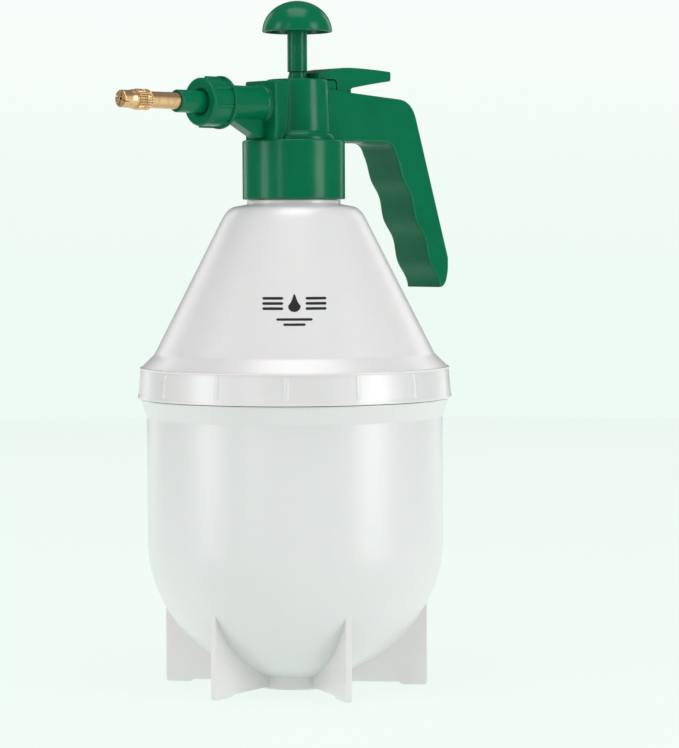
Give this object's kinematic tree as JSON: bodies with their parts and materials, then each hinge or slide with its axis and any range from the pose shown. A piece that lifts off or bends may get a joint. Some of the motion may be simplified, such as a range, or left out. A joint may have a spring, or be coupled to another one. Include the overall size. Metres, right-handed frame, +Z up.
{
  "type": "pump sprayer",
  "caption": "Hand pump pressure sprayer: domed tank on standing fins with a screw-on cone, a pump head with knob, thumb trigger and grip, and a brass spray tube.",
  "frame": {"origin": "on the tank's axis, on the flat underside of the hub between the standing fins, at floor level", "axes": "+Z up along the tank, -X along the spray outlet, +X towards the handle, Y across"},
  "size_m": [0.1805, 0.135, 0.2935],
  "materials": {
    "milky_plastic": "satin, slightly milky",
    "green_plastic": "gloss",
    "brass": "turned, polished",
    "black_rubber": "matt",
    "steel": "drawn",
    "natural_plastic": "satin"
  },
  "bodies": {
    "tank": {"tank_bowl": "milky_plastic"},
    "tank_gasket": {"tank_seal": "black_rubber"},
    "cone": {"tank_cone": "milky_plastic"},
    "head_gasket": {"head_seal": "black_rubber"},
    "head": {"head_body": "green_plastic", "pump_cylinder": "natural_plastic", "valve_guard": "green_plastic", "trigger_pin": "steel", "valve_housing": "natural_plastic", "valve_spring": "steel", "stem_washer": "black_rubber", "dip_tube": "natural_plastic", "dip_strainer": "green_plastic"},
    "plunger": {"pump_knob": "green_plastic", "plunger_rod": "steel", "piston": "natural_plastic", "piston_seal": "black_rubber"},
    "check_disc": {"check_valve": "black_rubber"},
    "trigger": {"trigger_lever": "green_plastic"},
    "valve": {"valve_pin": "brass", "valve_seal": "black_rubber"},
    "spray_stem": {"nozzle_collar": "green_plastic", "spray_barrel": "brass", "lock_ring": "brass"},
    "nut": {"coupling_nut": "green_plastic"},
    "tip_gasket": {"tip_washer": "black_rubber"},
    "tip": {"nozzle_tip": "brass"}
  },
  "joints": [
    {"name": "cone_lift", "type": "slide", "parent": "tank", "child": "tank_gasket", "axis": [0, 0, 1], "range_m": [0, 0.01]},
    {"name": "cone_turn", "type": "hinge", "parent": "tank_gasket", "child": "cone", "pos_m": [0, 0, 0.129], "axis": [0, 0, 1], "range_deg": [0, 720]},
    {"name": "head_lift", "type": "slide", "parent": "cone", "child": "head_gasket", "axis": [0, 0, 1], "range_m": [0, 0.02]},
    {"name": "head_turn", "type": "hinge", "parent": "head_gasket", "child": "head", "pos_m": [0, 0, 0.22], "axis": [0, 0, 1], "range_deg": [0, 1800]},
    {"name": "pump_stroke", "type": "slide", "parent": "head", "child": "plunger", "axis": [0, 0, 1], "range_m": [0, 0.085]},
    {"name": "check_valve_lift", "type": "slide", "parent": "head", "child": "check_disc", "axis": [0, 0, 1], "range_m": [0, 0.001]},
    {"name": "trigger_press", "type": "hinge", "parent": "head", "child": "trigger", "pos_m": [0.0209, 0, 0.2495], "axis": [0, 1, 0], "range_deg": [0, 10], "stiffness_Nm_per_rad": 0.2, "springref_deg": -17.19},
    {"name": "valve_press", "type": "slide", "parent": "head", "child": "valve", "axis": [0, 0, -1], "range_m": [0, 0.00112], "deforming": ["valve_spring"]},
    {"name": "stem_draw", "type": "slide", "parent": "head", "child": "spray_stem", "axis": [-1, 0, 0], "range_m": [0, 0.00625]},
    {"name": "nut_turn", "type": "hinge", "parent": "spray_stem", "child": "nut", "pos_m": [-0.0474, 0, 0.2488], "axis": [-1, 0, 0], "range_deg": [0, 900]},
    {"name": "tip_draw", "type": "slide", "parent": "spray_stem", "child": "tip_gasket", "axis": [-1, 0, 0], "range_m": [0, 0.0015]},
    {"name": "tip_turn", "type": "hinge", "parent": "tip_gasket", "child": "tip", "pos_m": [-0.0889, 0, 0.2488], "axis": [-1, 0, 0], "range_deg": [0, 540]}
  ],
  "couplings": [
    {"joint": "cone_turn", "follows": "cone_lift", "rad_per_m": 1256.6},
    {"joint": "head_turn", "follows": "head_lift", "rad_per_m": 1570.8},
    {"joint": "trigger_press", "follows": "valve_press", "rad_per_m": 156.25},
    {"joint": "nut_turn", "follows": "stem_draw", "rad_per_m": 2513.3},
    {"joint": "tip_turn", "follows": "tip_draw", "rad_per_m": 6283.2}
  ]
}
